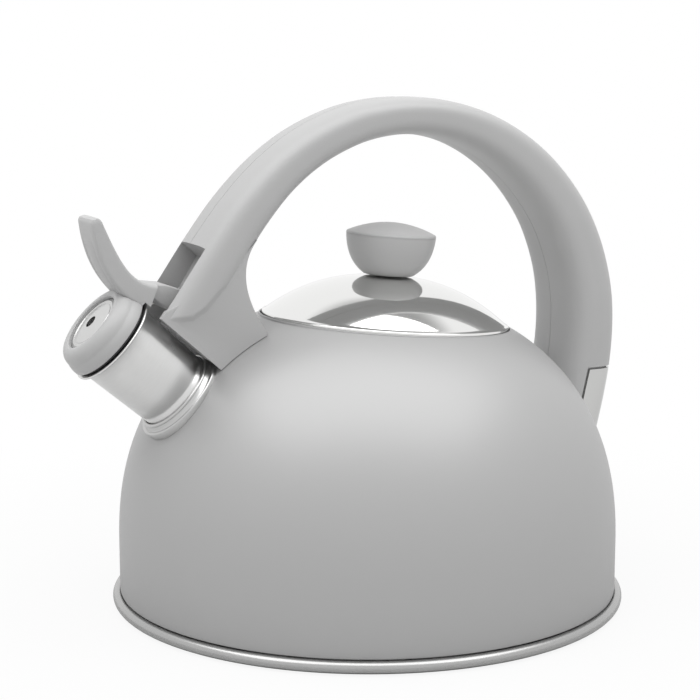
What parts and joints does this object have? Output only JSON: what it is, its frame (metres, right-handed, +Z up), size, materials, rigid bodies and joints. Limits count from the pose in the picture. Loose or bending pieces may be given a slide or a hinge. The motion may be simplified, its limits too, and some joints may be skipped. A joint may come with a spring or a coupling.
{
  "type": "stovetop whistling kettle",
  "caption": "Domed stovetop kettle with a rolled steel base rim, steel lid with knob, arched handle and a lever-opened whistle cap on its stub spout.",
  "frame": {"origin": "centre of the flat underside of the base, on the surface that the kettle stands on", "axes": "+Z up, the spout points to -X, the handle arch lies in the XZ plane with its rear leg at +X, and Y runs across"},
  "size_m": [0.2486, 0.22, 0.2142],
  "materials": {
    "enamel": "semi-gloss light grey vitreous enamel with a bright grazing sheen",
    "grey_nylon": "satin moulded light grey plastic",
    "polished_steel": "mirror-polished stainless steel",
    "satin_steel": "fine satin stainless steel",
    "aluminium_core": "plain rolled aluminium",
    "silicone": "black heat-proof silicone",
    "fixing_steel": "zinc-plated steel fixings",
    "insert_brass": "knurled brass insert"
  },
  "bodies": {
    "kettle": {"body_shell": "enamel", "lid_seat": "enamel", "base_pan": "satin_steel", "base_core": "aluminium_core", "base_cover": "satin_steel", "spout_collar": "satin_steel", "spout_tube": "satin_steel", "lever_pin": "fixing_steel", "return_spring": "fixing_steel", "handle_near": "grey_nylon", "handle_far": "grey_nylon", "front_strap": "satin_steel", "rear_bracket": "polished_steel", "handle_screw_1": "fixing_steel", "handle_screw_2": "fixing_steel", "handle_screw_3": "fixing_steel", "handle_screw_4": "fixing_steel", "rear_screw_near": "fixing_steel", "rear_screw_far": "fixing_steel"},
    "whistle": {"whistle_cap": "grey_nylon", "whistle_front_disc": "satin_steel", "whistle_rear_disc": "satin_steel", "cap_liner": "satin_steel", "cap_gasket": "silicone", "cap_screw": "fixing_steel", "lever": "grey_nylon"},
    "lid": {"lid_shell": "polished_steel", "lid_skirt": "satin_steel", "lid_knob": "grey_nylon", "knob_insert": "insert_brass", "knob_washer": "fixing_steel", "knob_screw": "fixing_steel"}
  },
  "joints": [
    {"name": "whistle_lever", "type": "hinge", "parent": "kettle", "child": "whistle", "pos_m": [-0.0885, 0, 0.1345], "axis": [0, 1, 0], "range_deg": [0, 40], "stiffness_Nm_per_rad": 0.06, "springref_deg": -28.65},
    {"name": "lid_lift", "type": "slide", "parent": "kettle", "child": "lid", "axis": [0.0785, 0, 0.9969], "range_m": [0, 0.03]}
  ]
}
